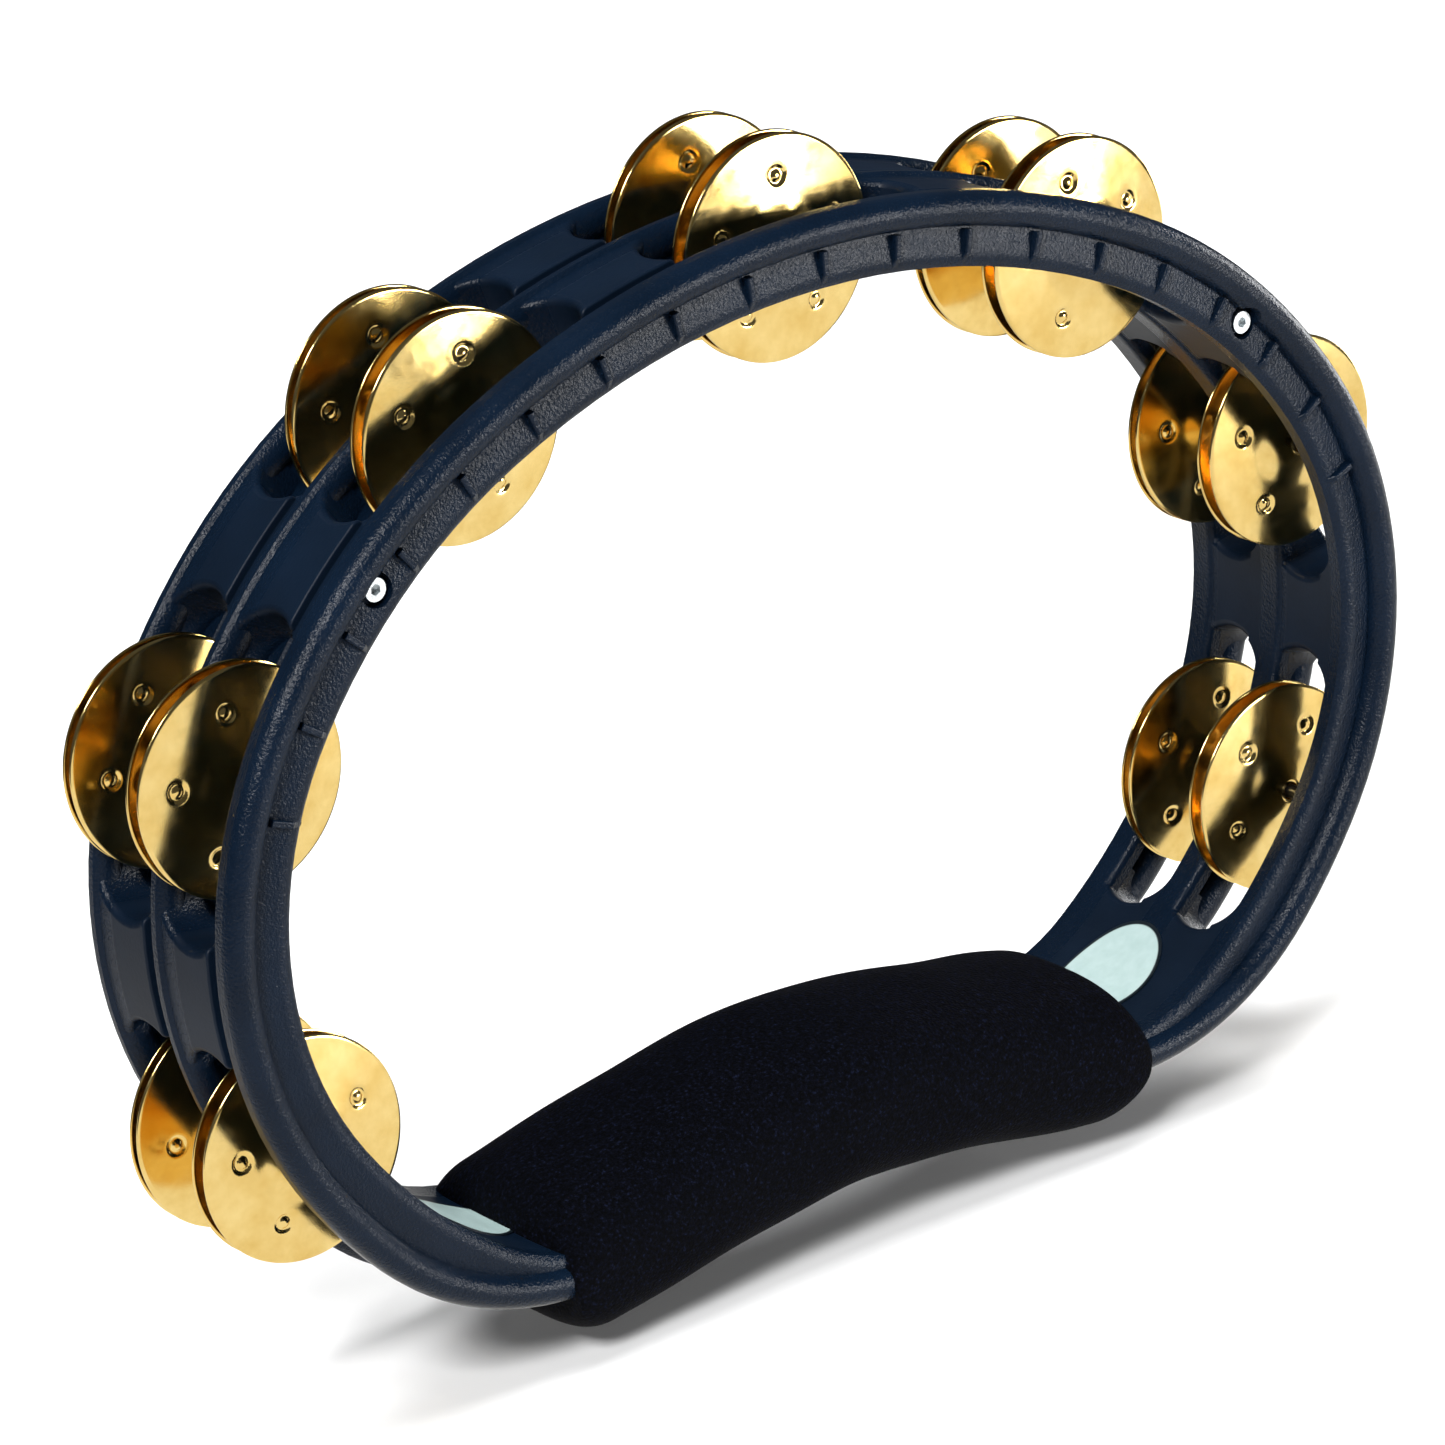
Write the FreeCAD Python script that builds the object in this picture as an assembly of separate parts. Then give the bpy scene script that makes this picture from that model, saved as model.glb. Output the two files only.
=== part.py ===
import FreeCAD, Part
import math
import os
from FreeCAD import Vector

# Hand-held oval tambourine: three stacked plastic mouldings, two rows of jingle pairs,
# seven cross pins, four clamping screws, a foam grip and two blank labels.
# Frame: +X right, +Y to the back along the jingle pins, +Z up towards the top station,
# origin at the middle of the foam grip. All lengths are millimetres, angles are degrees.

# ---- driving dimensions -------------------------------------------------------------
RING_RISE = 113.4          # top of the frame above the oval's centre
OVAL_CENTRE_Z = 77.0       # oval's centre above the grip
RAIL_WIDTH = 15.0          # radial width of the mouldings round the jingles
TOP_RADIUS = 188.0         # tangent arcs of the outer outline, from the top down
TOP_ANGLE = 25.56
SHOULDER_RADIUS = 130.6
SHOULDER_ANGLE = 56.13
HANDLE_SLOPE = 11.3        # the two handle legs rise towards the middle
HANDLE_LEG_Z = 2.4         # where the outer leg lines would meet above the origin
HANDLE_THICKNESS = 6.8
HANDLE_BEND = 120.0        # outer radius of the bend between the legs
OUTER_CORNER = 65.0
INNER_CORNER = 45.0

RING_PITCH = 21.2          # distance between mouldings along Y
RAIL_BACK = 1.8            # back face of a rail behind its moulding's middle plane
FRONT_BEAD = (4.5, 3.2)    # crest of the front moulding's outer bead, and the bead's rise
OTHER_BEAD = (2.2, 1.7)    # the same for the middle and back mouldings
FRONT_STRIP = 2.0          # crest of the front moulding's inner strip
OTHER_STRIP = 1.0          # the same for the middle and back mouldings
PANEL_SINK = 0.8           # the side panels lie below the beads
PANEL_FRONT = 16.2         # front edge of a panel ahead of the middle plane
REBATE_DEPTH = 2.4         # shadow gap between a panel and the next rail, outside
INNER_SINK = 0.6           # the side panels lie below the inner bands
INNER_BAND_FRONT = 4.2     # inner band of the middle and back mouldings
INNER_BAND_DEPTH = 3.6
INNER_BAND_ROUND = 1.6
BEAD_WIDTH = 7.0
STRIP_WIDTH = 8.3
STRIP_DROP = 0.9           # the strip falls away towards the bead and the inner edge

STATION_PITCH = 79.3       # along the pin line
STATIONS = (-3, -2, -1, 0, 1, 2, 3)
PIN_INSET = 9.3            # pin line inside the outer outline
PIN_RADIUS = 1.5
PIN_RUNNING_GAP = 0.05
PIN_SOCKET = 2.5           # depth of the blind sockets in the outer mouldings
PIN_END_GAP = 0.2
SLOT_HALF_LENGTH = 30.5    # to the round tip, along the pin line
SLOT_BACK = 1.0            # slots start just inside the rail that carries the panel
SLOT_LOW_EXTRA = 6.0       # the lowest slots run on towards the handle
DOME_POCKET = 13.0         # half length of the pocket in the inner band behind the domes
SLOT_LIP = 1.4             # rounding round the slots
PANEL_EDGE = 0.5           # rounding along a panel's front edge

RIB_PITCH = 18.1
RIB_COUNT_EACH_SIDE = 9
RIB_WIDTH = 1.5
RIB_TOP = 3.1
RIB_ROUND = 0.45

SCREW_STATION = 117.0      # along the inset line, on both sides of the top
SCREW_INSET = 8.75
HANDLE_SCREW_X = 48.0
SCREW_RADIUS = 1.25
SCREW_HOLE_RADIUS = 1.45
HEAD_RADIUS = 2.3
HEAD_HEIGHT = 2.5
HEAD_TOP = 1.4             # head's face, ahead of the front moulding's middle plane
COUNTERBORE_RADIUS = 3.4
HANDLE_COUNTERBORE_RADIUS = 2.45
SOCKET_FLATS = 2.0
SOCKET_DEPTH = 1.4
NUT_FLATS = 5.0
NUT_HEIGHT = 2.0

JINGLE_RADIUS = 22.5
JINGLE_HOLE_RADIUS = 2.0
JINGLE_SHEET = 0.5
DOME_RADIUS = 9.8
DOME_HEIGHT = 3.5
CONE_HEIGHT = 1.3
DIMPLE_COUNT = 5
DIMPLE_CIRCLE = 14.4
DIMPLE_RADIUS = 1.5
DIMPLE_DEPTH = 0.25

# rim planes of the jingles of one station at rest: (name, Y, side its dome faces)
JINGLE_RESTS = (
    ("front_a", -9.5, -1),
    ("front_b", -5.3, 1),
    ("back_a", 13.1, -1),
    ("back_b", 15.9, 1),
)
STATION_NAMES = ("low_left", "left", "upper_left", "top", "upper_right", "right", "low_right")

GRIP_LEFT = -77.0
GRIP_RIGHT = 71.5
GRIP_HALF_HEIGHT = 16.8
GRIP_HALF_DEPTH = 25.5
GRIP_INSET = 1.9           # grip's middle line inside the outer outline
GRIP_Y = -1.3
GRIP_END_ROUND = 8.0
GRIP_CLEARANCE = 0.1

LABEL_LEFT = 89.0          # label centres to the left and right of the origin
LABEL_RIGHT = 83.2
LABEL_Y = 0.0
LABEL_HALF_LENGTH = 15.0
LABEL_HALF_WIDTH = 11.2
LABEL_THICKNESS = 0.3

FRONT_MID = -RING_PITCH
BACK_MID = RING_PITCH
BIG = 60.0


# ---- the outline: tangent arcs about fixed centres ------------------------------------
def direction(phi):
    """Outward normal at angle phi, measured from the top towards +X, as (x, z)."""
    return math.sin(math.radians(phi)), math.cos(math.radians(phi))


class Arc:
    """Part of the outline's right half, with its centre inside (side 1) or outside (side -1)."""

    def __init__(self, cx, cz, radius, start, end, side=1):
        self.cx, self.cz, self.radius = cx, cz, radius
        self.start, self.end, self.side = start, end, side

    def point(self, phi, offset=0.0):
        nx, nz = direction(phi)
        reach = self.side * self.radius + offset
        return self.cx + reach * nx, self.cz + reach * nz

    def length(self, offset=0.0):
        turn = math.radians(abs(self.end - self.start))
        return turn * (self.radius + self.side * offset)

    def phi_at(self, distance, offset=0.0):
        share = distance / self.length(offset)
        return self.start + share * (self.end - self.start)


class Leg:
    """Straight part of the outline, between two points, with one outward normal."""

    def __init__(self, first, last, phi):
        self.first, self.last, self.phi = first, last, phi
        self.start = self.end = phi

    def point(self, share, offset=0.0):
        nx, nz = direction(self.phi)
        x = self.first[0] + share * (self.last[0] - self.first[0]) + offset * nx
        z = self.first[1] + share * (self.last[1] - self.first[1]) + offset * nz
        return x, z

    def length(self, offset=0.0):
        return math.hypot(self.last[0] - self.first[0], self.last[1] - self.first[1])


def arc_centres():
    """Centres of the top, shoulder and side arcs, and the side arc's radius."""
    top = (0.0, OVAL_CENTRE_Z + RING_RISE - TOP_RADIUS)
    nx, nz = direction(TOP_ANGLE)
    step = TOP_RADIUS - SHOULDER_RADIUS
    shoulder = (top[0] + step * nx, top[1] + step * nz)
    nx, nz = direction(SHOULDER_ANGLE)
    side_radius = SHOULDER_RADIUS + (shoulder[1] - OVAL_CENTRE_Z) / nz
    step = SHOULDER_RADIUS - side_radius
    side = (shoulder[0] + step * nx, OVAL_CENTRE_Z)
    return top, shoulder, side, side_radius


def corner_centre(radius, leg_distance, shoulder, shoulder_radius):
    """Centre of an arc tangent inside the lower shoulder arc and to a handle leg."""
    slope = math.radians(HANDLE_SLOPE)
    nx, nz = -math.sin(slope), -math.cos(slope)
    ux, uz = math.cos(slope), -math.sin(slope)
    bx, bz = (leg_distance - radius) * nx, (leg_distance - radius) * nz
    wx, wz = bx - shoulder[0], bz - shoulder[1]
    half = wx * ux + wz * uz
    rest = wx * wx + wz * wz - (shoulder_radius - radius) ** 2
    along = -half + math.sqrt(half * half - rest)
    return bx + along * ux, bz + along * uz


def half_outline(inset, thickness, corner_radius):
    """Right half of an outline, from the top round to the middle of the handle."""
    top, shoulder, side, side_radius = arc_centres()
    low_shoulder = (shoulder[0], 2 * OVAL_CENTRE_Z - shoulder[1])
    leg_phi = 180.0 + HANDLE_SLOPE
    nx, nz = direction(leg_phi)
    leg_distance = nz * HANDLE_LEG_Z - thickness
    shoulder_radius = SHOULDER_RADIUS - inset
    corner = corner_centre(corner_radius, leg_distance, low_shoulder, shoulder_radius)
    leave = math.degrees(math.atan2(corner[0] - low_shoulder[0], corner[1] - low_shoulder[1]))
    bend_radius = HANDLE_BEND + thickness
    bend = (0.0, (leg_distance + bend_radius) / nz)
    leg_first = (corner[0] + corner_radius * nx, corner[1] + corner_radius * nz)
    leg_last = (bend[0] - bend_radius * nx, bend[1] - bend_radius * nz)
    return [
        Arc(top[0], top[1], TOP_RADIUS - inset, 0.0, TOP_ANGLE),
        Arc(shoulder[0], shoulder[1], SHOULDER_RADIUS - inset, TOP_ANGLE, SHOULDER_ANGLE),
        Arc(side[0], side[1], side_radius - inset, SHOULDER_ANGLE, 180.0 - SHOULDER_ANGLE),
        Arc(low_shoulder[0], low_shoulder[1], shoulder_radius, 180.0 - SHOULDER_ANGLE, leave),
        Arc(corner[0], corner[1], corner_radius, leave, leg_phi),
        Leg(leg_first, leg_last, leg_phi),
        Arc(bend[0], bend[1], bend_radius, leg_phi, 180.0, -1),
    ]


OUTER = half_outline(0.0, 0.0, OUTER_CORNER)
INNER = half_outline(RAIL_WIDTH, HANDLE_THICKNESS, INNER_CORNER)


def mirrored(point):
    return -point[0], point[1]


def at_y(point, y):
    return Vector(point[0], y, point[1])


def outline_edges(half, offset, y):
    """Edges of the closed outline at one offset, in the plane at height y."""
    right, left = [], []
    for part in half:
        if isinstance(part, Leg):
            first, last = part.point(0.0, offset), part.point(1.0, offset)
            right.append(Part.makeLine(at_y(first, y), at_y(last, y)))
            left.append(Part.makeLine(at_y(mirrored(last), y), at_y(mirrored(first), y)))
            continue
        middle_phi = (part.start + part.end) / 2
        three = [part.point(phi, offset) for phi in (part.start, middle_phi, part.end)]
        right.append(Part.Arc(*[at_y(p, y) for p in three]).toShape())
        three = [mirrored(p) for p in reversed(three)]
        left.append(Part.Arc(*[at_y(p, y) for p in three]).toShape())
    return right + list(reversed(left))


def outline_wire(half, offset, y):
    return Part.Wire(Part.__sortEdges__(outline_edges(half, offset, y)))


def disc(half, offset, y0, y1):
    """Everything inside one outline, between two heights."""
    face = Part.Face(outline_wire(half, offset, y0))
    return face.extrude(Vector(0, y1 - y0, 0))


def band(y0, y1, outer_offset, inner_offset):
    """Everything between the outer and the inner outline, between two heights."""
    outside = disc(OUTER, outer_offset, y0, y1)
    return outside.cut(disc(INNER, inner_offset, y0 - 1, y1 + 1))


def profile_face(edges, origin, phi):
    """A face drawn as (offset, y) edges, stood on the outline's normal at origin."""
    nx, nz = direction(phi)

    def place(point):
        return Vector(origin[0] + point[0] * nx, point[1], origin[1] + point[0] * nz)

    shapes = []
    for edge in edges:
        points = [place(p) for p in edge]
        if len(points) == 2:
            shapes.append(Part.makeLine(points[0], points[1]))
        else:
            shapes.append(Part.Arc(*points).toShape())
    return Part.Face(Part.Wire(Part.__sortEdges__(shapes)))


def swept(half, edges):
    """A profile carried round a whole outline, one solid for each arc or leg, then joined."""
    solids = []
    for part in half:
        if isinstance(part, Leg):
            face = profile_face(edges, part.first, part.phi)
            run = at_y(part.last, 0).sub(at_y(part.first, 0))
            solid = face.extrude(run)
        else:
            face = profile_face(edges, part.point(part.start), part.start)
            turn = part.end - part.start
            solid = face.revolve(Vector(part.cx, 0, part.cz), Vector(0, 1, 0), turn)
        solids.append(solid)
        solids.append(solid.mirror(Vector(0, 0, 0), Vector(1, 0, 0)))
    return fused(solids)


def fused(shapes):
    joined = shapes[0].multiFuse(shapes[1:]) if len(shapes) > 1 else shapes[0]
    return joined.removeSplitter()


# ---- places along the pin line ----------------------------------------------------------
def locate(distance, inset):
    """Point and outward normal angle at a signed distance from the top along an inset line."""
    left = abs(distance)
    for part in OUTER:
        run = part.length(-inset)
        if left <= run or part is OUTER[-1]:
            phi = part.phi if isinstance(part, Leg) else part.phi_at(left, -inset)
            where = left / run if isinstance(part, Leg) else phi
            point = part.point(where, -inset)
            break
        left -= run
    if distance < 0:
        return mirrored(point), -phi
    return point, phi


def rod(point, y0, y1, radius):
    """Cylinder along Y."""
    return Part.makeCylinder(radius, y1 - y0, at_y(point, y0), Vector(0, 1, 0))


def hexagon(point, y0, y1, flats):
    """Hexagonal prism along Y."""
    corner = flats / math.sqrt(3)
    turns = [math.radians(60 * i) for i in range(7)]
    ring = [at_y((point[0] + corner * math.sin(t), point[1] + corner * math.cos(t)), y0) for t in turns]
    return Part.Face(Part.makePolygon(ring)).extrude(Vector(0, y1 - y0, 0))


def pin_point(station):
    return locate(station * STATION_PITCH, PIN_INSET)[0]


def slot_ends(station):
    """Where a slot's round tips end along the pin line."""
    first = station * STATION_PITCH - SLOT_HALF_LENGTH
    last = station * STATION_PITCH + SLOT_HALF_LENGTH
    if station == STATIONS[0]:
        first -= SLOT_LOW_EXTRA
    if station == STATIONS[-1]:
        last += SLOT_LOW_EXTRA
    return first, last


def slot_cutter(ends, y0, y1, depth):
    """Round-ended opening through a side panel down to a depth below the pin line."""
    radius = (y1 - y0) / 2
    ends = (ends[0] + radius, ends[1] - radius)
    pieces = []
    for end in ends:
        point, phi = locate(end, PIN_INSET)
        nx, nz = direction(phi)
        base = Vector(point[0] - depth * nx, (y0 + y1) / 2, point[1] - depth * nz)
        pieces.append(Part.makeCylinder(radius, depth + 14.0, base, Vector(nx, 0, nz)))
    steps = [ends[0] + (ends[1] - ends[0]) * i / 6 for i in range(7)]
    outside, inside = [], []
    for step in steps:
        point, phi = locate(step, PIN_INSET)
        nx, nz = direction(phi)
        outside.append(at_y((point[0] + 14 * nx, point[1] + 14 * nz), y0))
        inside.append(at_y((point[0] - depth * nx, point[1] - depth * nz), y0))
    ring = outside + list(reversed(inside)) + [outside[0]]
    pieces.append(Part.Face(Part.makePolygon(ring)).extrude(Vector(0, y1 - y0, 0)))
    return fused(pieces)


# ---- the three mouldings ----------------------------------------------------------------
def bead_profile(mid, reach, rise):
    """Outer bead of a rail, as (offset, y) edges: rounded in front, eased at the back."""
    back, crest, ease, half = mid + RAIL_BACK, mid - reach, 1.2, BEAD_WIDTH / 2
    shoulder = crest + rise
    bevel = ease * (1 - math.sqrt(0.5))
    return [
        ((-ease, back), (-bevel, back - bevel), (0.0, back - ease)),
        ((0.0, back - ease), (0.0, shoulder)),
        ((0.0, shoulder), (-half, crest), (-BEAD_WIDTH, shoulder)),
        ((-BEAD_WIDTH, shoulder), (-BEAD_WIDTH, back)),
        ((-BEAD_WIDTH, back), (-ease, back)),
    ]


def strip_profile(mid, reach):
    """Inner strip of a rail, as (offset from the inner outline, y) edges: low and crowned."""
    back, crest = mid + RAIL_BACK, mid - reach
    low = crest + STRIP_DROP
    crown = STRIP_WIDTH * 0.4
    return [
        ((0.0, back), (0.0, low)),
        ((0.0, low), (crown * 0.3, crest + 0.25), (crown, crest)),
        ((crown, crest), (STRIP_WIDTH, low)),
        ((STRIP_WIDTH, low), (STRIP_WIDTH, back)),
        ((STRIP_WIDTH, back), (0.0, back)),
    ]


def rail(mid, bead, strip_reach):
    """Closed rail of one moulding: outer bead, valley and inner strip."""
    strip = swept(INNER, strip_profile(mid, strip_reach))
    inside_outline = disc(OUTER, -PANEL_SINK, mid - BIG, mid + BIG)
    return fused([swept(OUTER, bead_profile(mid, *bead)), strip.common(inside_outline)])


def lip_edges(panel):
    """Edges where the slots break through a panel's outer and inner faces."""
    edges = []
    for edge in panel.Edges:
        heights = [point.y for point in edge.discretize(5)]
        along_y = isinstance(edge.Curve, Part.Line) and abs(edge.Curve.Direction.y) > 0.99
        if max(heights) - min(heights) > 0.3 and not along_y:
            edges.append(edge)
    return edges


def edges_at(panel, y):
    """Edges that lie in the plane at height y."""
    return [e for e in panel.Edges if all(abs(p.y - y) < 1e-3 for p in e.discretize(5))]


def inner_band(mid):
    """Rounded band round the inner side of a moulding, with pockets behind the domes."""
    front, back = mid - INNER_BAND_FRONT, mid + RAIL_BACK
    ring = disc(INNER, INNER_BAND_DEPTH, front, back).cut(disc(INNER, 0.0, front - 1, back + 1))
    low = -INNER_BAND_DEPTH - 1
    edge = [e for e in edges_at(ring, front) if on_outline(e, INNER)]
    ring = ring.makeFillet(INNER_BAND_ROUND, edge)
    pockets = []
    for station in STATIONS:
        middle = station * STATION_PITCH
        ends = (middle - DOME_POCKET, middle + DOME_POCKET)
        pockets.append(slot_cutter(ends, front + low, mid - SLOT_BACK, 12.0))
    return cut_all(ring, pockets)


def on_outline(edge, half):
    """Whether an edge's middle lies on an outline, seen along Y."""
    points = edge.discretize(3)
    vertex = Part.Vertex(Vector(points[1].x, 0, points[1].z))
    return vertex.distToShape(outline_wire(half, 0.0, 0.0))[0] < 0.01


def wall_pieces(y0, y1, outer_offset, cutter):
    """Side wall between the slots: sunk inside, but flush in the handle."""
    sunk = band(y0, y1, outer_offset, INNER_SINK).cut(cutter).Solids
    flush = band(y0, y1, outer_offset, 0.0).cut(cutter).Solids
    return [w for w in sunk if w.CenterOfMass.z > 20] + [w for w in flush if w.CenterOfMass.z < 20]


def panels(mid):
    """Side panels between the slots, with rounded lips, and the shadow gap at their front edge."""
    front = mid - PANEL_FRONT
    next_rail = mid - RING_PITCH + RAIL_BACK
    slots = [slot_cutter(slot_ends(k), next_rail, mid - SLOT_BACK, 12.0) for k in STATIONS]
    cutter = fused(slots)
    walls = []
    for panel in wall_pieces(front, mid - SLOT_BACK, -PANEL_SINK, cutter):
        panel = panel.makeFillet(SLOT_LIP, lip_edges(panel))
        walls.append(panel.makeFillet(PANEL_EDGE, edges_at(panel, front)))
    return fused(walls + wall_pieces(next_rail, front + PANEL_EDGE, -REBATE_DEPTH, cutter))


def screw_points():
    """Screw axes with their counterbore radii: two beside the top, two in the handle."""
    points = []
    for side in (-1, 1):
        points.append((locate(side * SCREW_STATION, SCREW_INSET)[0], COUNTERBORE_RADIUS))
    for part in OUTER:
        if isinstance(part, Leg):
            share = (part.first[0] - HANDLE_SCREW_X) / (part.first[0] - part.last[0])
            point = part.point(share, -HANDLE_THICKNESS / 2)
            points.append((mirrored(point), HANDLE_COUNTERBORE_RADIUS))
            points.append((point, HANDLE_COUNTERBORE_RADIUS))
    return points


def rib(index, mid):
    """Low scraping rib across the inner strip, sloping down to its inner edge."""
    point, phi = locate(index * RIB_PITCH, PIN_INSET)
    nx, nz = direction(phi)
    tx, tz = nz, -nx
    side = [(1.9, mid), (1.9, mid - RIB_TOP), (-2.8, mid - RIB_TOP), (-5.5, mid - 1.2), (-5.5, mid)]
    half = RIB_WIDTH / 2
    ring = [Vector(point[0] + a * nx - half * tx, y, point[1] + a * nz - half * tz) for a, y in side]
    shape = Part.Face(Part.makePolygon(ring + ring[:1])).extrude(Vector(tx, 0, tz) * RIB_WIDTH)
    tops = []
    for edge in shape.Edges:
        first, last = edge.discretize(2)
        if max(first.y, last.y) < mid - 1.0 and abs(last.sub(first).dot(Vector(tx, 0, tz))) < 0.1:
            tops.append(edge)
    return shape.makeFillet(RIB_ROUND, tops)


def cut_all(shape, tools):
    for tool in tools:
        shape = shape.cut(tool)
    return shape


def front_ring():
    """Front moulding: a rail with scraping ribs, screw counterbores and blind pin sockets."""
    mid = FRONT_MID
    ribs = [rib(i, mid) for i in range(-RIB_COUNT_EACH_SIDE, RIB_COUNT_EACH_SIDE + 1)]
    body = fused([rail(mid, FRONT_BEAD, FRONT_STRIP)] + ribs)
    back = mid + RAIL_BACK
    tools = []
    for station in STATIONS:
        radius = PIN_RADIUS + PIN_RUNNING_GAP
        tools.append(rod(pin_point(station), back - PIN_SOCKET, back + 1, radius))
    for point, bore in screw_points():
        tools.append(rod(point, mid - BIG, mid - HEAD_TOP + HEAD_HEIGHT, bore))
        tools.append(rod(point, mid - BIG, mid + BIG, SCREW_HOLE_RADIUS))
    return cut_all(body, tools)


def middle_ring():
    """Middle moulding: a rail and the panels that reach the front moulding."""
    mid = 0.0
    body = fused([rail(mid, OTHER_BEAD, OTHER_STRIP), inner_band(mid), panels(mid)])
    tools = [rod(pin_point(k), -BIG, BIG, PIN_RADIUS + PIN_RUNNING_GAP) for k in STATIONS]
    tools += [rod(point, -BIG, BIG, SCREW_HOLE_RADIUS) for point, bore in screw_points()]
    return cut_all(body, tools)


def back_ring():
    """Back moulding: a rail and panels, blind pin sockets and nut pockets."""
    mid = BACK_MID
    body = fused([rail(mid, OTHER_BEAD, OTHER_STRIP), inner_band(mid), panels(mid)])
    tools = []
    for station in STATIONS:
        radius = PIN_RADIUS + PIN_RUNNING_GAP
        tools.append(rod(pin_point(station), mid - BIG, mid - OTHER_STRIP + PIN_SOCKET, radius))
    for point, bore in screw_points():
        tools.append(rod(point, -BIG, BIG, SCREW_HOLE_RADIUS))
        tools.append(hexagon(point, mid + RAIL_BACK - NUT_HEIGHT, BIG, NUT_FLATS))
    return cut_all(body, tools)


# ---- fasteners and pins -----------------------------------------------------------------
def clamp_screws():
    """Socket-head screws through all three mouldings."""
    solids = []
    head_face = FRONT_MID - HEAD_TOP
    tip = BACK_MID + RAIL_BACK - 0.3
    for point, bore in screw_points():
        head = rod(point, head_face, head_face + HEAD_HEIGHT, HEAD_RADIUS)
        head = head.makeChamfer(0.25, [head.Edges[0]])
        shank = rod(point, head_face + HEAD_HEIGHT, tip, SCREW_RADIUS)
        socket = hexagon(point, head_face - 1, head_face + SOCKET_DEPTH, SOCKET_FLATS)
        solids.append(fused([head, shank]).cut(socket))
    return Part.makeCompound(solids)


def clamp_nuts():
    """Hexagon nuts pressed into the back moulding's pockets."""
    solids = []
    back = BACK_MID + RAIL_BACK
    for point, bore in screw_points():
        nut = hexagon(point, back - NUT_HEIGHT, back, NUT_FLATS)
        solids.append(nut.cut(rod(point, -BIG, BIG, SCREW_RADIUS)))
    return Part.makeCompound(solids)


def cross_pin(station):
    """Plain pin from the front moulding's socket to the back one's."""
    y0 = FRONT_MID + RAIL_BACK - PIN_SOCKET + PIN_END_GAP
    y1 = BACK_MID - OTHER_STRIP + PIN_SOCKET - PIN_END_GAP
    pin = rod(pin_point(station), y0, y1, PIN_RADIUS)
    ends = [e for e in pin.Edges if isinstance(e.Curve, Part.Circle)]
    return pin.makeChamfer(0.3, ends)


# ---- jingles ----------------------------------------------------------------------------
def jingle_blank():
    """Sheet-metal jingle on the Y axis, rim plane at y 0, dome towards -Y."""
    sheet = JINGLE_SHEET
    dome_y = -CONE_HEIGHT
    crown_y = -DOME_HEIGHT
    hole, dome, rim = JINGLE_HOLE_RADIUS, DOME_RADIUS, JINGLE_RADIUS
    bulge = -DOME_HEIGHT + (DOME_HEIGHT - CONE_HEIGHT) * 0.28
    middle = DOME_RADIUS * 0.62
    outline = [
        ((hole, crown_y), (middle, bulge), (dome, dome_y)),
        ((dome, dome_y), (rim, 0.0)),
        ((rim, 0.0), (rim, sheet)),
        ((rim, sheet), (dome, dome_y + sheet)),
        ((dome, dome_y + sheet), (middle, bulge + sheet), (hole, crown_y + sheet)),
        ((hole, crown_y + sheet), (hole, crown_y)),
    ]
    face = profile_face(outline, (0.0, 0.0), 90.0)
    body = face.revolve(Vector(0, 0, 0), Vector(0, 1, 0), 360)
    ball = DIMPLE_RADIUS ** 2 / (2 * DIMPLE_DEPTH) + DIMPLE_DEPTH / 2
    surface_y = -CONE_HEIGHT * (rim - DIMPLE_CIRCLE) / (rim - dome)
    for i in range(DIMPLE_COUNT):
        nx, nz = direction(360.0 * i / DIMPLE_COUNT)
        spot = (DIMPLE_CIRCLE * nx, DIMPLE_CIRCLE * nz)
        ball_y = surface_y + DIMPLE_DEPTH - ball
        body = body.cut(Part.makeSphere(ball, at_y(spot, ball_y)))
    return body


def jingle(blank, station, rim_y, side, turn):
    """A jingle hung on its pin, with its dome towards -Y (side -1) or +Y (side 1)."""
    piece = blank.copy()
    if side > 0:
        piece = piece.mirror(Vector(0, 0, 0), Vector(0, 1, 0))
    piece.rotate(Vector(0, 0, 0), Vector(0, 1, 0), turn)
    x, z = pin_point(station)
    piece.translate(Vector(x, rim_y, z))
    return piece


# ---- grip and labels --------------------------------------------------------------------
def grip_profile():
    """Stadium section of the foam, as (offset from the outer outline, y) edges."""
    half, depth = GRIP_HALF_HEIGHT, GRIP_HALF_DEPTH - GRIP_HALF_HEIGHT
    low, high, mid = -GRIP_INSET + half, -GRIP_INSET - half, -GRIP_INSET
    front, back = GRIP_Y - depth, GRIP_Y + depth
    return [
        ((low, front), (low, back)),
        ((low, back), (mid, back + half), (high, back)),
        ((high, back), (high, front)),
        ((high, front), (mid, front - half), (low, front)),
    ]


def grip_piece(part, limit, side):
    """Foam along one piece of the outline, on the right (side 1) or the left (side -1)."""
    if isinstance(part, Leg):
        face = profile_face(grip_profile(), part.first, part.phi)
        solid = face.extrude(at_y(part.last, 0).sub(at_y(part.first, 0)))
    else:
        start = part.start
        if part.side > 0:
            start = 180.0 - math.degrees(math.asin((limit - part.cx) / part.radius))
        face = profile_face(grip_profile(), part.point(start), start)
        solid = face.revolve(Vector(part.cx, 0, part.cz), Vector(0, 1, 0), part.end - start)
    if side < 0:
        solid = solid.mirror(Vector(0, 0, 0), Vector(1, 0, 0))
    return solid


def end_edges(solid):
    """Edges of the foam's two end faces."""
    faces = [f for f in solid.Faces if isinstance(f.Surface, Part.Plane)]
    faces = [f for f in faces if abs(f.normalAt(0, 0).x) > 0.9]
    return [edge for face in faces for edge in face.Edges]


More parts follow.
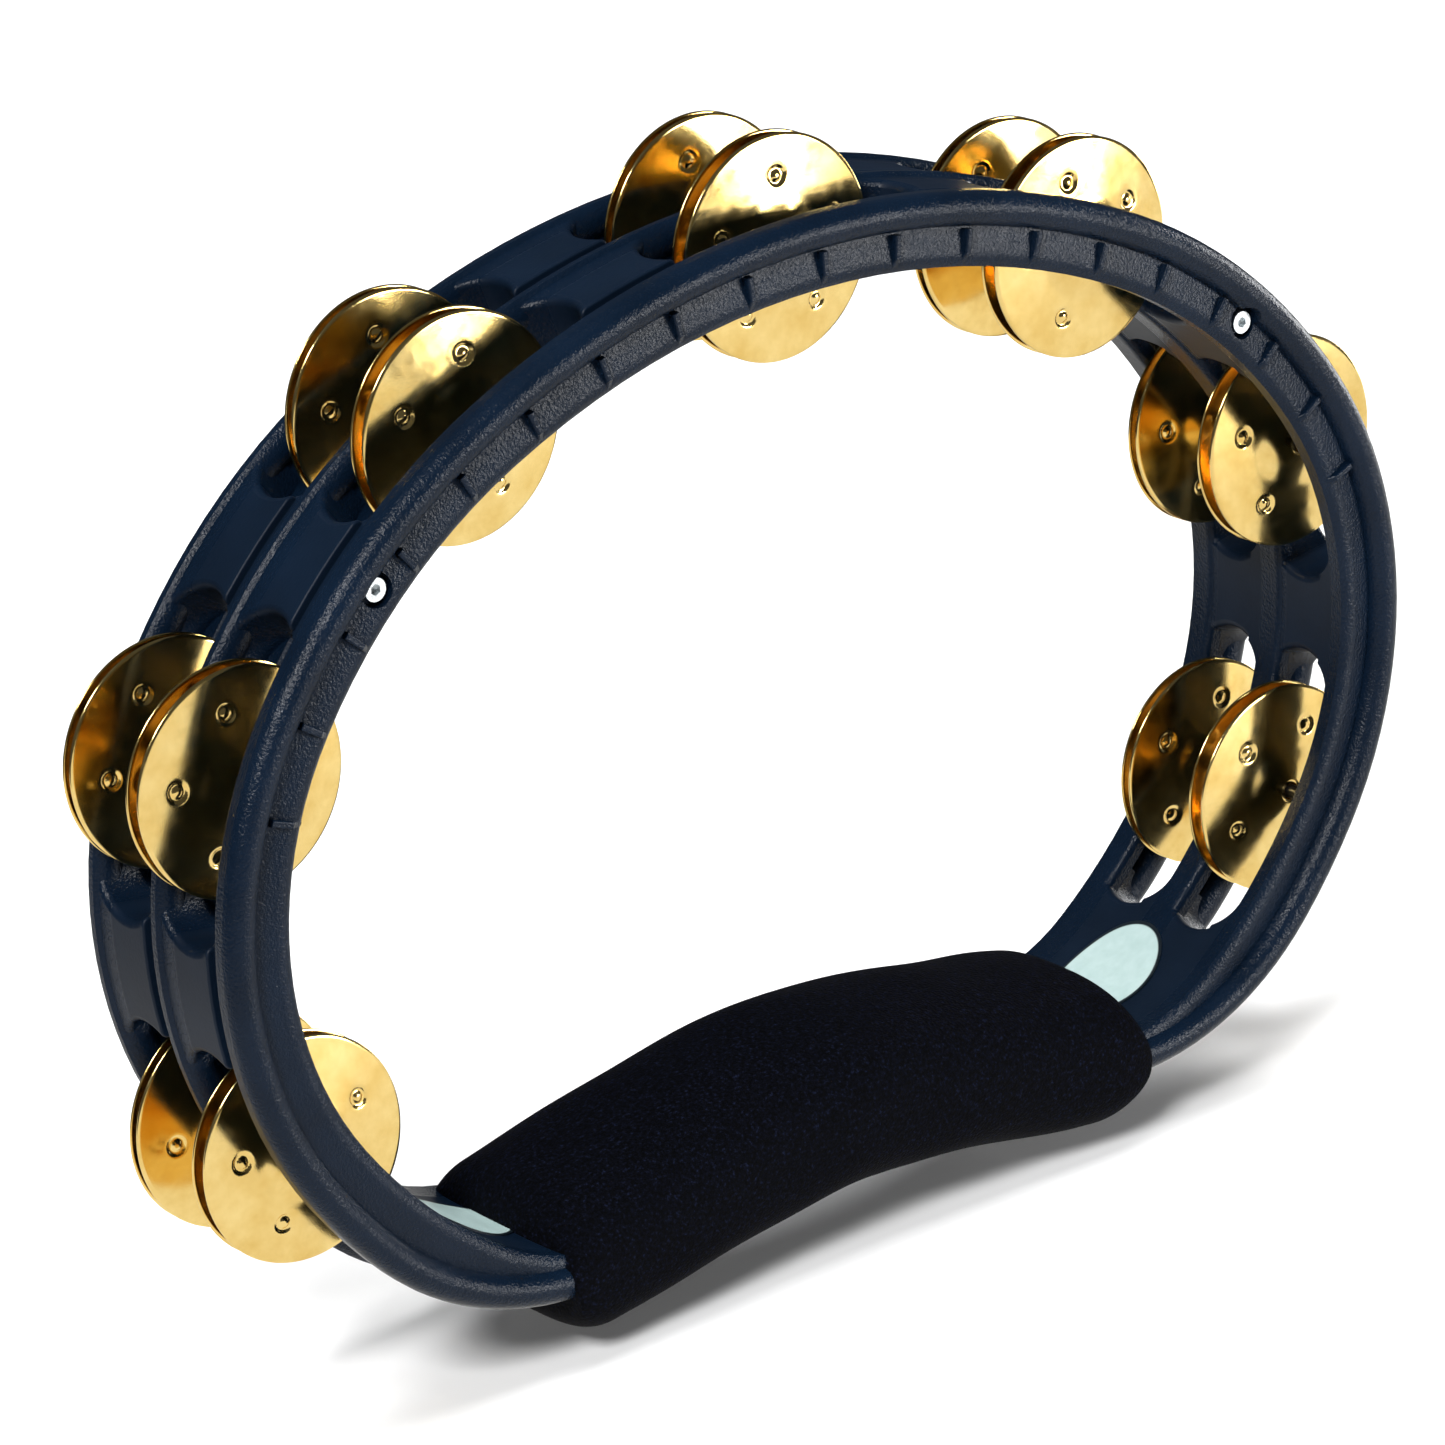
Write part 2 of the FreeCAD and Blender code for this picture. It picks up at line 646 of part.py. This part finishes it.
def grip():
    """Foam sleeve on the handle, open for the three rails."""
    pieces = []
    for part in OUTER[4:]:
        pieces.append(grip_piece(part, GRIP_RIGHT, 1))
        pieces.append(grip_piece(part, -GRIP_LEFT, -1))
    foam = fused(pieces)
    foam = foam.makeFillet(GRIP_END_ROUND, end_edges(foam))
    front = FRONT_MID - FRONT_BEAD[0] - GRIP_CLEARANCE
    back = BACK_MID + RAIL_BACK + GRIP_CLEARANCE
    inside = GRIP_CLEARANCE + LABEL_THICKNESS
    return foam.cut(band(front, back, GRIP_CLEARANCE, -inside))


def label(side, distance):
    """Blank oval label on the inner face beside the grip."""
    part = INNER[4]
    phi = 180.0 - math.degrees(math.asin((distance - part.cx) / part.radius))
    point = part.point(phi)
    nx, nz = direction(phi)
    skin = disc(INNER, 0.0, -BIG, BIG).cut(disc(INNER, -LABEL_THICKNESS, -BIG - 1, BIG + 1))
    oval = Part.Ellipse(Vector(0, 0, 0), LABEL_HALF_LENGTH, LABEL_HALF_WIDTH).toShape()
    face = Part.Face(Part.Wire([oval]))
    centre = Vector(point[0] - 8 * nx, LABEL_Y, point[1] - 8 * nz)
    along, across, outward = Vector(nz, 0, -nx), Vector(0, 1, 0), Vector(nx, 0, nz)
    face.Placement = FreeCAD.Placement(centre, FreeCAD.Rotation(along, across, outward, "ZXY"))
    piece = skin.common(face.extrude(outward * 16))
    if side < 0:
        piece = piece.mirror(Vector(0, 0, 0), Vector(1, 0, 0))
    return piece


def save(shape, node):
    if shape.ShapeType == "Compound" and len(shape.Solids) == 1:
        shape = shape.Solids[0]
    print(node, shape.isValid(), len(shape.Solids), round(shape.Volume))
    shape.exportStep("parts/" + node + ".step")


def main():
    os.makedirs("parts", exist_ok=True)
    save(front_ring(), "front_ring")
    save(middle_ring(), "middle_ring")
    save(back_ring(), "back_ring")
    save(clamp_screws(), "clamp_screws")
    save(clamp_nuts(), "clamp_nuts")
    save(grip(), "grip")
    save(label(-1, LABEL_LEFT), "label_left")
    save(label(1, LABEL_RIGHT), "label_right")
    blank = jingle_blank()
    for index, station in enumerate(STATIONS):
        place = STATION_NAMES[index]
        save(cross_pin(station), "pin_" + place)
        for number, (name, rim_y, side) in enumerate(JINGLE_RESTS):
            turn = 17.0 * index + 31.0 * number
            save(jingle(blank, station, rim_y, side, turn), "jingle_" + place + "_" + name)


main()
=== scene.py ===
"""Hand-held oval tambourine: the looks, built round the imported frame. Metres, +Z up."""
import math

import bpy
from mathutils import Matrix, Vector


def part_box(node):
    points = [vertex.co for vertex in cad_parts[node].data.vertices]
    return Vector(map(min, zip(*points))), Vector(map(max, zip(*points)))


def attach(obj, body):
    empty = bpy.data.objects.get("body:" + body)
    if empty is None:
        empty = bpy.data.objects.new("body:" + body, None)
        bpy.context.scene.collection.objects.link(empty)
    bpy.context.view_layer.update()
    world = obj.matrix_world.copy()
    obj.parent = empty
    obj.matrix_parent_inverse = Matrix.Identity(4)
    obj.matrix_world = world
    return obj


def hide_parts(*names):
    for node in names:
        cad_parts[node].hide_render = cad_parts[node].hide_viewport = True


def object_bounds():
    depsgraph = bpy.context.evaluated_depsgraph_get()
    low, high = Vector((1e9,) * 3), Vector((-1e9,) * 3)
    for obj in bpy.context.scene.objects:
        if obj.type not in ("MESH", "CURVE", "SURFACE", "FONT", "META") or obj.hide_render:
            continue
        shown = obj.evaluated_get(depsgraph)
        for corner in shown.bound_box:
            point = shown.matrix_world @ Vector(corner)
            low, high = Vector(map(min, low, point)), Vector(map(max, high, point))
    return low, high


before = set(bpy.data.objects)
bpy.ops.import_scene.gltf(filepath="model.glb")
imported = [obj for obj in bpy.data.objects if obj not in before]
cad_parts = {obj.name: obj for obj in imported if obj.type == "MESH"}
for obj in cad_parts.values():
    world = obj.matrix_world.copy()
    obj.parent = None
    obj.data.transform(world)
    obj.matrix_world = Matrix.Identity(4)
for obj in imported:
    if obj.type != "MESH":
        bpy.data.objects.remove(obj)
CAD_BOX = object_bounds()
MM = 0.001

# ---- camera -------------------------------------------------------------------------
CAMERA_PLACE = Vector((-684.2, -882.9, 498.0)) * MM
CAMERA_AZIMUTH = math.radians(-37.22)
CAMERA_FALL = math.radians(20.42)
CAMERA_ROLL = math.radians(-3.82)
CAMERA_LENS = 149.5
WORLD_STRENGTH = 0.07
TABLE = (-0.5, 1.3, -1.3, 0.45)
TABLE_SHEEN = 1.0
FLOOR_HALF = 4.0
FLOOR_GAP = 0.5 * MM

# ---- the object: the frame's names and measures --------------------------------------
STATIONS = ("low_left", "left", "upper_left", "top", "upper_right", "right", "low_right")
STATION_TURNS = (62.0, 63.0, 4.5, 1.0, 60.0, 71.0, 30.0)
DISC_TURN = 29.0
DISCS = (("front_a", -1), ("front_b", 1), ("back_a", -1), ("back_b", 1))
RING_MIDDLES = (-21.2 * MM, 0.0, 21.2 * MM)
LABEL_HALF_LENGTH = 15.0 * MM
LABEL_HALF_WIDTH = 11.2 * MM


# ---- node helpers ---------------------------------------------------------------------
class Look:
    """A material's node tree with short ways to add and join nodes."""

    def __init__(self, name):
        self.material = bpy.data.materials.new(name)
        self.material.use_nodes = True
        self.tree = self.material.node_tree
        self.tree.nodes.clear()
        self.out = self.tree.nodes.new("ShaderNodeOutputMaterial")
        self.shader = self.tree.nodes.new("ShaderNodeBsdfPrincipled")
        self.join(self.shader.outputs[0], self.out.inputs["Surface"])
        self.place = self.tree.nodes.new("ShaderNodeTexCoord").outputs["Object"]

    def join(self, source, target):
        self.tree.links.new(source, target)

    def fixed(self, **values):
        for key, value in values.items():
            self.shader.inputs[key.replace("_", " ")].default_value = value

    def noise(self, scale, detail=2.0, roughness=0.5, place=None):
        node = self.tree.nodes.new("ShaderNodeTexNoise")
        node.inputs["Scale"].default_value = scale
        node.inputs["Detail"].default_value = detail
        node.inputs["Roughness"].default_value = roughness
        self.join(place or self.place, node.inputs["Vector"])
        return node.outputs["Fac"]

    def cells(self, scale, place=None):
        node = self.tree.nodes.new("ShaderNodeTexVoronoi")
        node.inputs["Scale"].default_value = scale
        self.join(place or self.place, node.inputs["Vector"])
        return node.outputs["Distance"]

    def span(self, source, low, high, to_low=0.0, to_high=1.0, smooth=False):
        node = self.tree.nodes.new("ShaderNodeMapRange")
        node.interpolation_type = "SMOOTHSTEP" if smooth else "LINEAR"
        self.join(source, node.inputs["Value"])
        node.inputs["From Min"].default_value = low
        node.inputs["From Max"].default_value = high
        node.inputs["To Min"].default_value = to_low
        node.inputs["To Max"].default_value = to_high
        return node.outputs["Result"]

    def maths(self, how, first, second):
        node = self.tree.nodes.new("ShaderNodeMath")
        node.operation = how
        for socket, value in zip(node.inputs, (first, second)):
            if isinstance(value, (int, float)):
                socket.default_value = value
            else:
                self.join(value, socket)
        return node.outputs[0]

    def axis(self, name):
        node = self.tree.nodes.new("ShaderNodeSeparateXYZ")
        self.join(self.place, node.inputs[0])
        return node.outputs[name]

    def colours(self, source, *stops):
        node = self.tree.nodes.new("ShaderNodeValToRGB")
        ramp = node.color_ramp
        while len(ramp.elements) < len(stops):
            ramp.elements.new(0.5)
        for element, (where, colour) in zip(ramp.elements, stops):
            element.position = where
            element.color = (*colour, 1.0)
        self.join(source, node.inputs["Fac"])
        return node.outputs["Color"]

    def bump(self, height, strength, distance, below=None):
        node = self.tree.nodes.new("ShaderNodeBump")
        node.inputs["Distance"].default_value = distance
        if isinstance(strength, (int, float)):
            node.inputs["Strength"].default_value = strength
        else:
            self.join(strength, node.inputs["Strength"])
        self.join(height, node.inputs["Height"])
        if below is not None:
            self.join(below, node.inputs["Normal"])
        return node.outputs["Normal"]

    def feed(self, source, socket):
        self.join(source, self.shader.inputs[socket])


# ---- materials ------------------------------------------------------------------------
def frame_plastic():
    """Near-black navy ABS: finely pebbled rails, smoother panels."""
    look = Look("frame_plastic_look")
    y = look.axis("Y")
    rails = None
    for middle in RING_MIDDLES:
        off = look.maths("ABSOLUTE", look.maths("SUBTRACT", y, middle - 1.4 * MM), 0.0)
        near = look.span(off, 3.4 * MM, 4.4 * MM, 1.0, 0.0, smooth=True)
        rails = near if rails is None else look.maths("MAXIMUM", rails, near)
    mottle = look.noise(60.0, 3.0)
    shades = ((0.3, (0.0016, 0.0052, 0.0125)), (0.7, (0.0024, 0.0075, 0.0180)))
    look.feed(look.colours(mottle, *shades), "Base Color")
    pebble = look.noise(1700.0, 2.0, 0.6)
    strength = look.span(rails, 0.0, 1.0, 0.10, 0.7)
    fine = look.bump(pebble, strength, 0.30 * MM)
    look.feed(look.bump(look.noise(170.0, 2.0), 0.15, 0.3 * MM, fine), "Normal")
    look.feed(look.span(rails, 0.0, 1.0, 0.46, 0.25), "Roughness")
    look.fixed(Specular_IOR_Level=0.16)
    return look.material


def jingle_brass():
    """Polished stamped brass with a fine grain and faint tarnish."""
    look = Look("jingle_brass_look")
    wear = look.noise(140.0, 4.0, 0.6)
    shades = ((0.30, (0.80, 0.55, 0.17)), (0.70, (0.93, 0.71, 0.29)))
    look.feed(look.colours(wear, *shades), "Base Color")
    look.feed(look.span(look.noise(300.0, 3.0), 0.3, 0.7, 0.11, 0.19), "Roughness")
    grain = look.bump(look.noise(3600.0, 1.0), 0.12, 0.05 * MM)
    look.feed(look.bump(look.noise(80.0, 1.0), 0.25, 0.5 * MM, grain), "Normal")
    look.fixed(Metallic=1.0)
    return look.material


def bright_steel():
    look = Look("fastener_steel_look")
    grain = look.noise(2500.0, 2.0)
    shades = ((0.3, (0.66, 0.71, 0.74)), (0.7, (0.86, 0.90, 0.92)))
    look.feed(look.colours(grain, *shades), "Base Color")
    look.feed(look.span(grain, 0.3, 0.7, 0.22, 0.36), "Roughness")
    look.fixed(Metallic=1.0)
    return look.material


def dark_steel():
    look = Look("pin_steel_look")
    grain = look.noise(1800.0, 2.0)
    shades = ((0.3, (0.035, 0.036, 0.040)), (0.7, (0.070, 0.070, 0.075)))
    look.feed(look.colours(grain, *shades), "Base Color")
    look.feed(look.span(grain, 0.3, 0.7, 0.30, 0.42), "Roughness")
    look.fixed(Metallic=1.0)
    return look.material


def grip_foam():
    """Matte closed-cell foam rubber, almost black with a bluish speckle."""
    look = Look("grip_foam_look")
    pores = look.cells(1500.0)
    speck = look.noise(1300.0, 2.0, 0.7)
    shades = (
        (0.40, (0.0004, 0.0005, 0.0010)),
        (0.60, (0.0012, 0.0016, 0.0040)),
        (0.78, (0.006, 0.009, 0.024)),
    )
    look.feed(look.colours(speck, *shades), "Base Color")
    grain = look.bump(pores, 0.8, 0.25 * MM)
    look.feed(look.bump(look.noise(400.0, 3.0), 0.4, 0.4 * MM, grain), "Normal")
    look.feed(look.span(speck, 0.3, 0.7, 0.90, 0.98), "Roughness")
    look.fixed(Specular_IOR_Level=0.06)
    return look.material


def label_film(side):
    """Blank pale oval with a thin dark border."""
    look = Look("label_film_look")
    low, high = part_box(f"label_{side}")
    middle = (low + high) / 2
    lean = 1.0 if side == "right" else -1.0
    run = Vector((lean * (high.x - low.x), 0, high.z - low.z)).normalized()
    x = look.maths("MULTIPLY", look.maths("SUBTRACT", look.axis("X"), middle.x), run.x)
    z = look.maths("MULTIPLY", look.maths("SUBTRACT", look.axis("Z"), middle.z), run.z)
    along = look.maths("DIVIDE", look.maths("ADD", x, z), LABEL_HALF_LENGTH)
    across = look.maths("DIVIDE", look.maths("SUBTRACT", look.axis("Y"), middle.y), LABEL_HALF_WIDTH)
    reach = look.maths("ADD", look.maths("POWER", look.maths("ABSOLUTE", along, 0.0), 2.0),
                       look.maths("POWER", look.maths("ABSOLUTE", across, 0.0), 2.0))
    border = look.span(reach, 0.86, 0.90)
    tone = look.noise(400.0, 2.0)
    pale = look.colours(tone, (0.3, (0.33, 0.45, 0.44)), (0.7, (0.38, 0.50, 0.49)))
    mix = look.tree.nodes.new("ShaderNodeMix")
    mix.data_type = "RGBA"
    look.join(border, mix.inputs["Factor"])
    look.join(pale, mix.inputs[6])
    mix.inputs[7].default_value = (0.004, 0.008, 0.012, 1.0)
    look.feed(mix.outputs[2], "Base Color")
    look.feed(look.span(tone, 0.3, 0.7, 0.35, 0.45), "Roughness")
    return look.material


def floor_paper():
    look = Look("floor_look")
    tone = look.noise(40.0, 2.0)
    look.feed(look.colours(tone, (0.3, (0.90, 0.90, 0.90)), (0.7, (0.92, 0.92, 0.92))), "Base Color")
    look.fixed(Roughness=0.9, Specular_IOR_Level=0.1)
    return look.material


def dress(obj, material):
    obj.data.materials.clear()
    obj.data.materials.append(material)


# ---- jingles --------------------------------------------------------------------------
RIM = 22.5
HOLE = 2.0
DOME = 10.5
CROWN = 3.5
CONE = 1.35
SHEET = 0.5
DIMPLE_CIRCLE = 14.4
SPOKES = 180


def dome_height(r):
    """Height of the jingle's outer face above the rim plane, in millimetres."""
    cone = CONE * (RIM - r) / (RIM - DOME)
    if r >= DOME:
        return cone
    share = r / DOME
    rise = CROWN - CONE - 0.15
    return CONE + rise * (1 - share * share) ** 1.35 + 0.15 * (1 - share)


def dimple(distance):
    """Pressed moat round a small raised pip, as a depth in millimetres."""
    moat = 0.55 * math.exp(-(((distance - 1.45) / 0.42) ** 2))
    pip = 0.10 * math.exp(-((distance / 0.72) ** 4))
    return moat - pip


def radial_steps():
    """Radii from the hole to the rim, closer together over the dimples."""
    steps = [HOLE + (12.0 - HOLE) * i / 12 for i in range(12)]
    steps += [12.0 + 4.8 * i / 14 for i in range(14)]
    steps += [16.8 + (RIM - 0.12 - 16.8) * i / 8 for i in range(9)]
    return steps


def jingle_mesh(name, side, turn, centre):
    """A thin stamped disc; side -1 turns its dome to the front and 1 to the back."""
    spots = [(DIMPLE_CIRCLE * math.sin(a), DIMPLE_CIRCLE * math.cos(a)) for a in
             (turn + 2 * math.pi * i / 5 for i in range(5))]
    radii = radial_steps()
    rings = [(r, 0.0) for r in radii] + [(RIM, 0.15), (RIM, SHEET - 0.15)]
    rings += [(r, SHEET) for r in reversed(radii)]
    vertices = []
    for r, depth in rings:
        height = dome_height(min(r, RIM))
        for j in range(SPOKES):
            a = 2 * math.pi * j / SPOKES
            x, z = r * math.sin(a), r * math.cos(a)
            press = 0.0
            if abs(r - DIMPLE_CIRCLE) < 2.6:
                press = sum(dimple(math.hypot(x - sx, z - sz)) for sx, sz in spots)
            y = side * (height - depth - press)
            vertices.append((centre[0] + x * MM, centre[1] + y * MM, centre[2] + z * MM))
    faces = []
    count = len(rings)
    for i in range(count):
        k = (i + 1) % count
        for j in range(SPOKES):
            n = (j + 1) % SPOKES
            quad = (i * SPOKES + j, i * SPOKES + n, k * SPOKES + n, k * SPOKES + j)
            faces.append(quad if side < 0 else quad[::-1])
    mesh = bpy.data.meshes.new(name)
    mesh.from_pydata(vertices, [], faces)
    mesh.polygons.foreach_set("use_smooth", [True] * len(faces))
    mesh.update()
    return mesh


def make_jingles(material):
    for s, station in enumerate(STATIONS):
        for d, (disc, side) in enumerate(DISCS):
            node = f"jingle_{station}_{disc}"
            low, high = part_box(node)
            rim_y = high.y - SHEET * MM if side < 0 else low.y + SHEET * MM
            pin_low, pin_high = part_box(f"pin_{station}")
            centre = ((pin_low.x + pin_high.x) / 2, rim_y, (pin_low.z + pin_high.z) / 2)
            turn = math.radians(STATION_TURNS[s] + DISC_TURN * d)
            mesh = jingle_mesh(f"stamped_{station}_{disc}", side, turn, centre)
            piece = bpy.data.objects.new(f"stamped_{station}_{disc}", mesh)
            bpy.context.scene.collection.objects.link(piece)
            dress(piece, material)
            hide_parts(node)
            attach(piece, f"disc_{station}_{disc}")


# ---- grip -----------------------------------------------------------------------------
GRIP_LEFT = -77.5
GRIP_RIGHT = 72.0
GRIP_TOP = 2.2
GRIP_SLOPE = 0.205
BEND_SOFTNESS = 24.0
GRIP_HALF_HEIGHT = 17.2
GRIP_HALF_DEPTH = 25.9
GRIP_SQUARENESS = 2.7
GRIP_END_ROUND = 9.0
GRIP_Y = -1.3
GRIP_DEPTH_INSET = 0.10
GRIP_SPOKES = 220
END_STEPS = 16
BODY_STEPS = 120


def grip_line(x):
    """Height and slope of the foam's middle line at x, in millimetres."""
    reach = math.sqrt(x * x + BEND_SOFTNESS * BEND_SOFTNESS)
    return GRIP_TOP - GRIP_SLOPE * (reach - BEND_SOFTNESS), -GRIP_SLOPE * x / reach


def grip_half_height(x):
    """The foam swells in the middle, thins towards its ends and swells a little near the right one."""
    thin = 1.9 * (abs(x - 3.0) / 72.0) ** 1.6
    swell = 0.7 * math.exp(-(((x - 56.0) / 11.0) ** 2))
    return GRIP_HALF_HEIGHT - thin + swell


def end_share(inside):
    """How much of its full section the foam keeps at a distance inside from an end."""
    if inside >= GRIP_END_ROUND:
        return 1.0
    fall = 1.0 - inside / GRIP_END_ROUND
    return math.sqrt(max(0.0, 1.0 - fall * fall))


def grip_rows():
    """Places along the foam, closer together in the rounded ends."""
    length = GRIP_RIGHT - GRIP_LEFT
    straight = length - 2 * GRIP_END_ROUND
    quarter = math.pi / 2
    ends = [GRIP_END_ROUND * (1 - math.cos(quarter * i / END_STEPS)) for i in range(END_STEPS + 1)]
    body = [GRIP_END_ROUND + straight * i / BODY_STEPS for i in range(1, BODY_STEPS)]
    return ends + body + [length - inside for inside in reversed(ends)]


def make_grip(material):
    """Foam sleeve: rounded sections carried along the bent handle."""
    around = GRIP_SPOKES
    vertices = []
    rows = grip_rows()
    length = GRIP_RIGHT - GRIP_LEFT
    for along in rows:
        x = GRIP_LEFT + along
        share = end_share(min(along, length - along))
        inset = GRIP_END_ROUND * (1.0 - share)
        z, slope = grip_line(x)
        lean = 1 / math.hypot(1.0, slope)
        high = grip_half_height(x) - inset
        deep = GRIP_HALF_DEPTH - GRIP_DEPTH_INSET * inset
        for j in range(around):
            a = 2 * math.pi * j / around
            c, s = math.cos(a), math.sin(a)
            y = deep * math.copysign(abs(c) ** (2 / GRIP_SQUARENESS), c)
            h = high * math.copysign(abs(s) ** (2 / GRIP_SQUARENESS), s)
            ripple = 0.25 * math.sin(0.11 * x + 2.0 * c) * math.sin(0.07 * x - 3.0 * s)
            y, h = y * (1 + ripple / deep), h * (1 + ripple / high)
            vertices.append(((x - h * slope * lean) * MM, (GRIP_Y + y) * MM, (z + h * lean) * MM))
    faces = []
    for i in range(len(rows) - 1):
        for j in range(around):
            n = (j + 1) % around
            faces.append((i * around + j, (i + 1) * around + j, (i + 1) * around + n, i * around + n))
    last = (len(rows) - 1) * around
    faces.append(tuple(range(around)))
    faces.append(tuple(last + j for j in reversed(range(around))))
    mesh = bpy.data.meshes.new("foam_grip")
    mesh.from_pydata(vertices, [], faces)
    mesh.polygons.foreach_set("use_smooth", [True] * len(faces))
    mesh.update()
    foam = bpy.data.objects.new("foam_grip", mesh)
    bpy.context.scene.collection.objects.link(foam)
    dress(foam, material)
    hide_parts("grip")
    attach(foam, "frame")


# ---- camera, floor and light ----------------------------------------------------------
def make_camera():
    data = bpy.data.cameras.new("camera")
    data.lens = CAMERA_LENS
    data.sensor_width = 36.0
    data.clip_end = 20.0
    camera = bpy.data.objects.new("camera", data)
    bpy.context.scene.collection.objects.link(camera)
    turn = Matrix.Rotation(CAMERA_AZIMUTH, 4, "Z") @ Matrix.Rotation(math.pi / 2 - CAMERA_FALL, 4, "X")
    camera.matrix_world = Matrix.Translation(CAMERA_PLACE) @ turn @ Matrix.Rotation(CAMERA_ROLL, 4, "Z")
    bpy.context.scene.camera = camera


def make_floor(material):
    half = FLOOR_HALF
    level = CAD_BOX[0][2] - FLOOR_GAP
    corners = [(-half, -half, level), (half, -half, level), (half, half, level), (-half, half, level)]
    mesh = bpy.data.meshes.new("floor")
    mesh.from_pydata(corners, [], [(0, 1, 2, 3)])
    floor = bpy.data.objects.new("floor", mesh)
    bpy.context.scene.collection.objects.link(floor)
    dress(floor, material)
    floor.visible_glossy = False
    make_sheen("table_sheen", TABLE, level, TABLE_SHEEN)


def make_sheen(name, box, level, strength):
    """A bright patch of table top that only glossy reflections see."""
    left, right, front, back = box
    corners = [(left, front, level), (right, front, level), (right, back, level), (left, back, level)]
    mesh = bpy.data.meshes.new(name)
    mesh.from_pydata(corners, [], [(0, 1, 2, 3)])
    card = bpy.data.objects.new(name, mesh)
    bpy.context.scene.collection.objects.link(card)
    look = bpy.data.materials.new(name + "_look")
    look.use_nodes = True
    shader = look.node_tree.nodes["Principled BSDF"]
    shader.inputs["Base Color"].default_value = (0.0, 0.0, 0.0, 1.0)
    shader.inputs["Emission Color"].default_value = (1.0, 0.98, 0.94, 1.0)
    shader.inputs["Emission Strength"].default_value = strength
    dress(card, look)
    card.visible_camera = False
    card.visible_diffuse = False
    card.visible_shadow = False
    card.visible_transmission = False


def area_light(name, place, target, size, watts, size_y=None):
    data = bpy.data.lights.new(name, "AREA")
    data.shape = "RECTANGLE"
    data.size = size
    data.size_y = size_y or size
    data.energy = watts
    lamp = bpy.data.objects.new(name, data)
    bpy.context.scene.collection.objects.link(lamp)
    lamp.location = place
    lamp.rotation_euler = (Vector(place) - Vector(target)).to_track_quat("Z", "Y").to_euler()
    return lamp


def make_lights():
    world = bpy.data.worlds.new("studio")
    bpy.context.scene.world = world
    world.use_nodes = True
    background = world.node_tree.nodes["Background"]
    background.inputs["Color"].default_value = (0.96, 0.98, 1.0, 1.0)
    background.inputs["Strength"].default_value = WORLD_STRENGTH
    middle = (0.0, 0.0, 0.08)
    area_light("key", (-1.3, -0.9, 1.4), middle, 0.5, 45.0)
    area_light("fill", (1.25, -1.65, 0.24), middle, 0.8, 30.0, 0.4)
    area_light("side", (1.9, 0.2, 0.10), middle, 0.5, 14.0, 0.5)
    rim = area_light("rim", (0.2, 1.5, 1.3), middle, 0.8, 20.0)
    rim.visible_glossy = False
    top = area_light("top", (0.0, 0.0, 2.2), middle, 1.4, 50.0)
    top.visible_glossy = False


def main():
    bpy.context.scene.view_settings.view_transform = "Standard"
    make_camera()
    plastic = frame_plastic()
    for node in ("front_ring", "middle_ring", "back_ring"):
        dress(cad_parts[node], plastic)
    steel, dark = bright_steel(), dark_steel()
    for node in ("clamp_screws", "clamp_nuts"):
        dress(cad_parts[node], steel)
    for station in STATIONS:
        dress(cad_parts[f"pin_{station}"], dark)
    for side in ("left", "right"):
        dress(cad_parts[f"label_{side}"], label_film(side))
    make_jingles(jingle_brass())
    make_grip(grip_foam())
    make_floor(floor_paper())
    make_lights()


main()
